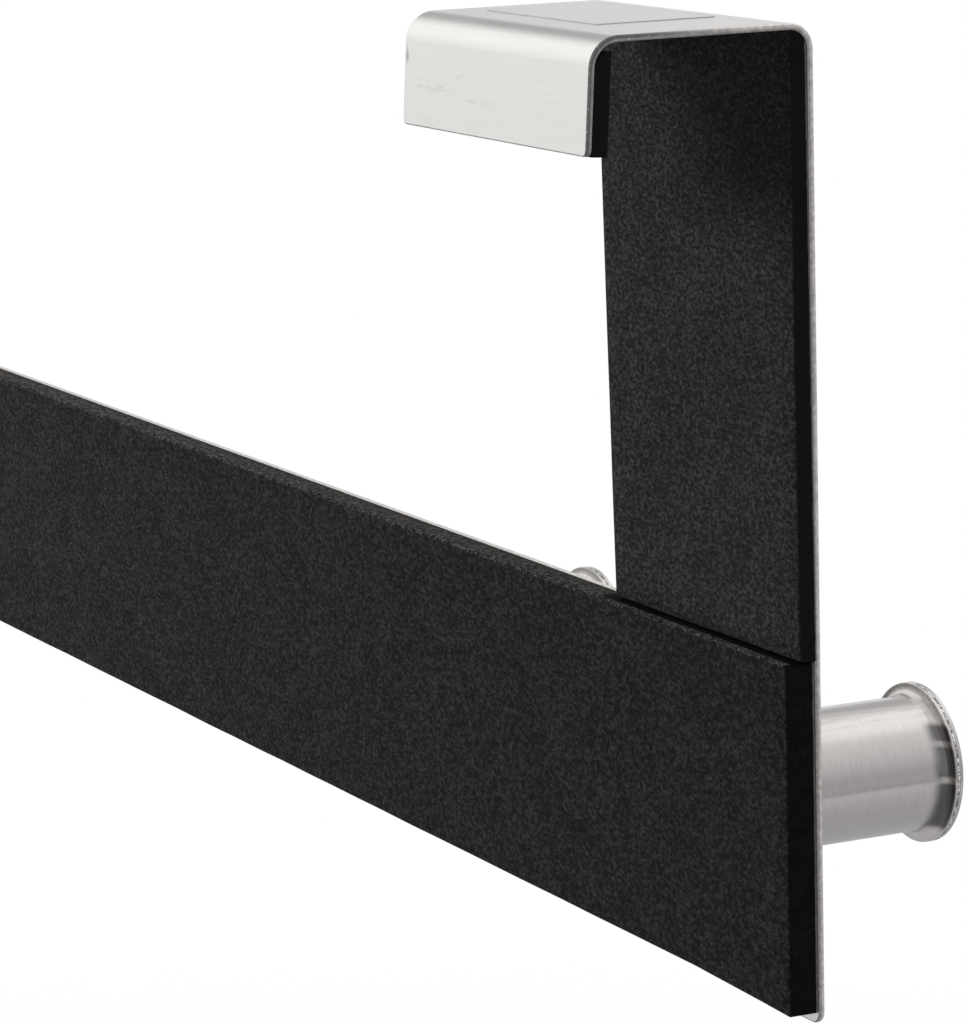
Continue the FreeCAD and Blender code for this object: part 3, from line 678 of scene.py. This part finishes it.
def foam_block(foam, low, high, corner=0.0, foot_swings=(0.0, 0.0), nest=0.0):
    """Foam cut from sheet: square back on the steel, rounded face edges, sides that wander a little.

    foot_swings lean the two sides; nest rounds the upper back edge to sit in a bend.
    """
    size = high - low
    middle = (low + high) / 2
    bm = bmesh.new()
    bmesh.ops.create_grid(bm, x_segments=max(2, round(size.x / foam.grid)),
                          y_segments=max(2, round(size.z / foam.grid)), size=0.5)
    bmesh.ops.scale(bm, vec=(size.x, size.z, 1.0), verts=bm.verts)
    bmesh.ops.rotate(bm, cent=(0, 0, 0), matrix=Matrix.Rotation(math.pi / 2, 3, "X"), verts=bm.verts)
    bmesh.ops.translate(bm, vec=(middle.x, low.y, middle.z), verts=bm.verts)
    result = bmesh.ops.extrude_face_region(bm, geom=list(bm.faces))
    bmesh.ops.translate(bm, verts=only(bmesh.types.BMVert, result["geom"]), vec=(0.0, size.y, 0.0))
    for vert in bm.verts:
        share = (high.z - vert.co.z) / size.z
        side = (vert.co.x - low.x) / size.x
        vert.co.x += share * (foot_swings[0] * (1 - side) + foot_swings[1] * side)
    bmesh.ops.recalc_face_normals(bm, faces=bm.faces)
    if corner:
        posts = [edge for edge in bm.edges if abs(edge.verts[0].co.y - edge.verts[1].co.y) > size.y * 0.5
                 and sum(not face.normal.y for face in edge.link_faces) == 2
                 and edge.link_faces[0].normal.dot(edge.link_faces[1].normal) < 0.5]
        bmesh.ops.bevel(bm, geom=posts, offset=corner, offset_type="OFFSET", affect="EDGES", segments=5,
                        profile=0.5, material=-1)
    if nest:
        top_back = [edge for edge in bm.edges
                    if all(near(vert, y=low.y) and vert.co.z > high.z - 1e-5 for vert in edge.verts)]
        bmesh.ops.bevel(bm, geom=top_back, offset=nest, offset_type="OFFSET", affect="EDGES", segments=8,
                        profile=0.5, material=-1)
        bmesh.ops.remove_doubles(bm, verts=bm.verts, dist=WELD)
    lips = [edge for edge in bm.edges if len(edge.link_faces) == 2
            and all(vert.co.y > high.y - 1e-6 for vert in edge.verts)
            and min(face.normal.y for face in edge.link_faces) < 0.5]
    bmesh.ops.bevel(bm, geom=lips, offset=foam.edge_round, offset_type="OFFSET", affect="EDGES", segments=3,
                    profile=0.5, material=-1)
    wander_sides(foam, bm, low, high, nest)
    for face in bm.faces:
        face.material_index = 0 if face.normal.y > 0.6 else 1
    return bm


def wander_sides(foam, bm, low, high, nest):
    """Move a foam block's sides inwards, and its ends up or down, by a little that changes along them."""
    for vert in bm.verts:
        depth = (vert.co.y - low.y) / (high.y - low.y) * foam.wander
        side = min(1.0, max(0.0, (vert.co.x - low.x) / (high.x - low.x)))
        place = Vector((vert.co.x * WANDER_WAVES, 3.0, vert.co.z * WANDER_WAVES))
        drift_x, drift_z = noise.noise(place), noise.noise(place + Vector((0.0, 9.0, 0.0)))
        in_bend = nest and vert.co.z > high.z - 1e-4
        vert.co.x += (drift_x + 1 - 2 * side) * depth
        vert.co.z += 0.0 if in_bend else drift_z * depth


def lift_foot(foam, bm, low, high):
    """Lift the rail foam's foot, most one run away from the near end, where it drops, and less further on."""
    middle = (low.z + high.z) / 2
    for vert in bm.verts:
        if vert.co.z < middle:
            share = (middle - vert.co.z) / (middle - low.z)
            runs = (vert.co.x - low.x) / foam.lift_run
            rise = min(1.0, runs) * (1.0 + foam.lift_drop) - foam.lift_drop
            vert.co.z += foam.lift * share * rise * max(0.0, 1.0 - runs / foam.lift_fade)


class PEGRAIL_OT_foam(bpy.types.Operator):
    """Cut the foam for rail, legs and lips"""
    bl_idname = "peg_rail.foam"
    bl_label = "Foam pads"

    def execute(self, context):
        foam = context.scene.peg_rail_foam
        sheet = context.scene.peg_rail_sheet
        cut = cut_foam(foam)
        rail_looks = (foam_skin(foam, "rail_foam_skin", foam.rail_shade), cut)
        looks = (foam_skin(foam, "leg_foam_skin", foam.leg_shade), cut)
        rail = foam_block(foam, RAIL_PAD_LOW, RAIL_PAD_HIGH, corner=foam.corner)
        lift_foot(foam, rail, RAIL_PAD_LOW, RAIL_PAD_HIGH)
        finished(rail, "rail_foam", rail_looks, "foam", "rail_pad")
        nest = sheet.front_bend - sheet.wall - NEST_GAP
        for side in ("left", "right"):
            low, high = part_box(f"leg_pad_{side}")
            swings = (0.0, 0.0)
            if side == "left":
                low = Vector((low.x + foam.swing_outer, low.y, low.z))
                swings = (-foam.swing_outer, -foam.swing_inner)
            leg = foam_block(foam, low, high, foot_swings=swings, nest=nest)
            finished(leg, f"leg_foam_{side}", looks, "foam", f"leg_pad_{side}")
            self.lip(foam, sheet, side, looks)
        return {"FINISHED"}

    def lip(self, foam, sheet, side, looks):
        """Foam inside one lip, leaning with it."""
        low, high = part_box(f"lip_pad_{side}")
        rear_inner = sheet.rear_bend - sheet.wall
        start = Vector((0.0, DOOR_FACE + sheet.door_gap + sheet.wall - sheet.rear_bend
                        + rear_inner * math.cos(sheet.lip_lean),
                        rear_inner * math.sin(sheet.lip_lean) - rear_inner))
        reach = (sheet.lip_drop + start.z) / math.cos(sheet.lip_lean)
        thickness = LEG_FOAM_FACE - DOOR_FACE
        bm = foam_block(foam, Vector((low.x, 0.0, -reach)), Vector((high.x, thickness, foam.lip_top)),
                        nest=thickness - NEST_GAP)
        bmesh.ops.rotate(bm, cent=(0, 0, 0), matrix=Matrix.Rotation(math.pi, 3, "Z"), verts=bm.verts)
        bmesh.ops.translate(bm, vec=(low.x + high.x, 0.0, 0.0), verts=bm.verts)
        bmesh.ops.rotate(bm, cent=(0, 0, 0), matrix=Matrix.Rotation(sheet.lip_lean, 3, "X"), verts=bm.verts)
        bmesh.ops.translate(bm, vec=start, verts=bm.verts)
        finished(bm, f"lip_foam_{side}", looks, "foam", f"lip_pad_{side}")


def turned(corners, rounds, centre, steps):
    """Turn a closed outline of (radius, place along Y) about a peg's axis, with its corners rounded."""
    bm = bmesh.new()
    verts = [bm.verts.new((0.0, along, radius)) for radius, along in corners]
    for first, second in zip(verts, verts[1:] + verts[:1]):
        bm.edges.new((first, second))
    for vert, radius in zip(verts, rounds):
        if radius:
            round_corners(bm, [vert], radius, segments=4)
    bmesh.ops.spin(
        bm, geom=list(bm.verts) + list(bm.edges), cent=(0, 0, 0), axis=(0.0, 1.0, 0.0), dvec=(0, 0, 0),
        angle=math.tau, steps=steps, space=Matrix.Identity(4), use_merge=True, use_normal_flip=False,
        use_duplicate=False)
    bmesh.ops.remove_doubles(bm, verts=bm.verts, dist=WELD)
    bmesh.ops.recalc_face_normals(bm, faces=bm.faces)
    bmesh.ops.translate(bm, vec=centre, verts=bm.verts)
    return bm


class PEGRAIL_OT_pegs(bpy.types.Operator):
    """Turn the pegs and their caps"""
    bl_idname = "peg_rail.pegs"
    bl_label = "Pegs"

    def execute(self, context):
        pegs = context.scene.peg_rail_pegs
        neck_look, rim_look = turned_peg(pegs), welded_rim(pegs)
        foot, mouth = NECK_HIGH.y, NECK_LOW.y
        rim = (NECK_HIGH.z - NECK_LOW.z) / 2
        neck, hole = pegs.neck / 2, pegs.hole / 2
        inner = neck - pegs.wall
        for node in PEGS:
            low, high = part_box(node)
            centre = Vector(((low.x + high.x) / 2, 0.0, (low.z + high.z) / 2))
            flange = mouth + pegs.wall
            corners = (
                (hole, foot), (neck, foot), (neck, foot - 2 * pegs.foot_round),
                (neck, flange + 1.3 * pegs.neck_round), (neck, flange), (rim, flange), (rim, mouth),
                (inner, mouth), (inner, foot - pegs.wall), (hole, foot - pegs.wall))
            rounds = (0, pegs.foot_round, 0, 0, pegs.neck_round, pegs.rim_round, pegs.rim_round, 0, 0, 0)
            finished(turned(corners, rounds, centre, pegs.steps), node.replace("peg", "turned_peg"),
                     (neck_look,), "peg_steel", node)
            cap = node.replace("peg", "peg_cap")
            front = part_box(cap)[0].y
            bm = bmesh.new()
            bmesh.ops.create_circle(bm, cap_ends=True, segments=pegs.steps, radius=rim)
            bmesh.ops.rotate(bm, cent=(0, 0, 0), matrix=Matrix.Rotation(math.pi / 2, 3, "X"), verts=bm.verts)
            bmesh.ops.translate(bm, vec=(centre.x, mouth, centre.z), verts=bm.verts)
            result = bmesh.ops.extrude_face_region(bm, geom=list(bm.faces))
            move_new(bm, result, (0.0, front - mouth, 0.0))
            bmesh.ops.recalc_face_normals(bm, faces=bm.faces)
            edges = [edge for edge in bm.edges if len({round(v.co.y, 6) for v in edge.verts}) == 1]
            bmesh.ops.bevel(bm, geom=edges, offset=pegs.rim_round, offset_type="OFFSET", affect="EDGES",
                            segments=3, profile=0.5, material=-1)
            finished(bm, node.replace("peg", "welded_cap"), (rim_look,), "cap_steel", cap)
        return {"FINISHED"}


class PEGRAIL_OT_carried(bpy.types.Operator):
    """Give the screws, nuts and film of the CAD model their finish"""
    bl_idname = "peg_rail.carried"
    bl_label = "Screws, nuts and film"

    def execute(self, context):
        zinc = bright_zinc(context.scene.peg_rail_pegs)
        film = plain_film(context.scene.peg_rail_sheet)
        for name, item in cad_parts.items():
            if "screw" in name or "nut" in name:
                look = zinc
            elif name == "top_patch":
                look = film
            else:
                continue
            for place in item.material_slots:
                place.material = look
        return {"FINISHED"}


def shown_to(f):
    """1 for rays from the camera, or from metal or glass that mirrors the room."""
    path = f.node("ShaderNodeLightPath")
    return (path + f.part(path, "Is Glossy Ray") + f.part(path, "Is Transmission Ray")).at_most(1.0)


def pale_floor(stage):
    """White where the eye meets it, but darker under the object, where its shadow stays."""
    made, f = material("pale_floor")
    x, y = f.place()[1:3]
    away = (x * x + y * y).root()
    white = shown_to(f) * away.ramp(0.25 * stage.pool, stage.pool, 0.72, 1.0)
    gloss = f.part(f.node("ShaderNodeLightPath"), "Is Glossy Ray")
    seam = abs(away - stage.sweep).ramp(0.05, 0.16, stage.seam_dark, 0.0)
    beyond = away.ramp(stage.sweep, stage.sweep + 0.1) * y.ramp(-0.6, 0.2, 0.20, -0.21)
    under = away.ramp(0.3, stage.sweep, stage.near_dark, stage.sweep_dark) + beyond
    mirrored = (seam + under) * gloss
    matt = f.node("ShaderNodeBsdfPrincipled", sockets={"Base Color": rgba(stage.floor), "Roughness": 0.9})
    glow = f.node("ShaderNodeEmission", sockets={
        "Color": WHITE, "Strength": (1.0 - mirrored) * stage.shown_white})
    both = f.node("ShaderNodeMixShader", sockets={0: white, 1: matt, 2: glow})
    f.node("ShaderNodeOutputMaterial", sockets={"Surface": both})
    return made


def room(stage):
    """Even studio light; metal mirrors a white room with a greyer far wall, a flag and two lit cards."""
    world = bpy.data.worlds.new("studio")
    bpy.context.scene.world = world
    f = Finish(world)
    heading = f.node("ShaderNodeTexCoord", output="Generated")
    x = f.node("ShaderNodeSeparateXYZ", sockets={0: heading})
    y, up = f.part(x, 1), f.part(x, 2)

    def card(towards, edge, middle):
        """1 where a ray heads for the card, falling to 0 round it."""
        way = Vector(towards).normalized()
        return (x * way.x + y * way.y + up * way.z).ramp(math.cos(edge), math.cos(middle))

    wall = y.ramp(-0.25, 0.3, stage.far_wall, 1.0)
    flag = up.ramp(0.15, 0.32) * up.ramp(0.50, 0.75, 1.0, 0.0) * x.ramp(0.1, 0.5)
    flag = flag * y.ramp(-0.12, 0.10, 1.0, 0.0) * y.ramp(-0.48, -0.35, 0.55, 1.0)
    over_lip = card(stage.lip_card_way, 0.50, 0.04) * stage.lip_card
    over_peg = card(stage.peg_card_way, 0.50, 0.15) * stage.peg_card
    dusk = (0.80 - up) * stage.dusk * up.ramp(0.82, 0.76) * y.ramp(-0.30, -0.45) * x.ramp(0.2, -0.2)
    mirrored = wall * (1.0 - flag * stage.flag) * (1.0 - dusk) + over_lip + over_peg
    path = f.node("ShaderNodeLightPath")
    gloss = f.part(path, "Is Glossy Ray")
    soft = f.node("ShaderNodeBackground", sockets={"Color": WHITE, "Strength": stage.sky})
    shown = f.node("ShaderNodeBackground", sockets={
        "Color": WHITE, "Strength": (mirrored * gloss + path) * stage.shown_white})
    both = f.node("ShaderNodeMixShader", sockets={0: path.at_least(gloss), 1: soft, 2: shown})
    f.node("ShaderNodeOutputWorld", sockets={"Surface": both})


def softbox(name, bearing, height, away, aim, size, radiance):
    """Lamp of even brightness that metal doesn't mirror, placed by bearing and height from what it faces."""
    lamp = bpy.data.lights.new(name, "AREA")
    lamp.shape = "RECTANGLE"
    lamp.size, lamp.size_y = size
    lamp.energy = radiance * math.pi * size[0] * size[1]
    item = bpy.data.objects.new(name, lamp)
    bpy.context.scene.collection.objects.link(item)
    level = away * math.cos(height)
    item.location = aim + Vector(
        (level * math.cos(bearing), level * math.sin(bearing), away * math.sin(height)))
    item.rotation_euler = (aim - item.location).to_track_quat("-Z", "Y").to_euler()
    item.visible_glossy = False


class PEGRAIL_OT_stage(bpy.types.Operator):
    """Set up the floor, the lamps, the room and the camera"""
    bl_idname = "peg_rail.stage"
    bl_label = "Stage"

    def execute(self, context):
        stage = context.scene.peg_rail_stage
        bm = bmesh.new()
        bmesh.ops.create_grid(bm, x_segments=8, y_segments=8, size=stage.floor_size / 2)
        bmesh.ops.translate(bm, vec=(0.0, 0.0, SHEET_LOW.z - stage.floor_drop), verts=bm.verts)
        mesh = bpy.data.meshes.new("floor")
        bm.to_mesh(mesh)
        bm.free()
        mesh.materials.append(pale_floor(stage))
        ground = bpy.data.objects.new("floor", mesh)
        context.scene.collection.objects.link(ground)
        room(stage)
        aim = Vector((SHEET_LOW.x, 0.0, 0.0)) + Vector(stage.aim)
        softbox("key", stage.key_bearing, stage.key_height, stage.key_away, aim, stage.key_size, stage.key)
        softbox("overhead", stage.overhead_bearing, stage.overhead_height, stage.overhead_away, aim,
                stage.overhead_size, stage.overhead)
        camera = bpy.data.cameras.new("camera")
        camera.sensor_width = 36.0
        camera.lens = stage.focal_pixels / max(stage.picture) * camera.sensor_width
        camera.clip_end = 50.0
        eye = bpy.data.objects.new("camera", camera)
        context.scene.collection.objects.link(eye)
        eye.location = stage.camera_place
        eye.rotation_euler = Euler(stage.camera_turn, "XYZ")
        context.scene.camera = eye
        context.scene.view_settings.view_transform = "Standard"
        return {"FINISHED"}


PIECES = (PEGRAIL_OT_bent_sheet, PEGRAIL_OT_foam, PEGRAIL_OT_pegs, PEGRAIL_OT_carried, PEGRAIL_OT_stage)


class PEGRAIL_PT_panel(bpy.types.Panel):
    """Sidebar with the rail's pieces and sizes"""
    bl_idname = "PEGRAIL_PT_panel"
    bl_label = "Peg rail"
    bl_space_type = "VIEW_3D"
    bl_region_type = "UI"
    bl_category = "Peg rail"

    def draw(self, context):
        for operator in PIECES:
            self.layout.operator(operator.bl_idname)
        for group in SETTINGS:
            settings = getattr(context.scene, group)
            box = self.layout.box()
            for name in settings.bl_rna.properties.keys():
                if name not in ("rna_type", "name"):
                    box.prop(settings, name)


SETTINGS = {
    "peg_rail_sheet": SheetSettings, "peg_rail_foam": FoamSettings,
    "peg_rail_pegs": PegSettings, "peg_rail_stage": StageSettings}
CLASSES = (*SETTINGS.values(), *PIECES, PEGRAIL_PT_panel)


def register():
    for item in CLASSES:
        bpy.utils.register_class(item)
    for name, group in SETTINGS.items():
        setattr(bpy.types.Scene, name, PointerProperty(type=group))


def unregister():
    for name in SETTINGS:
        delattr(bpy.types.Scene, name)
    for item in reversed(CLASSES):
        bpy.utils.unregister_class(item)


def main():
    register()
    bpy.ops.peg_rail.stage()
    bpy.ops.peg_rail.bent_sheet()
    bpy.ops.peg_rail.foam()
    bpy.ops.peg_rail.pegs()
    bpy.ops.peg_rail.carried()


if __name__ == "__main__":
    main()
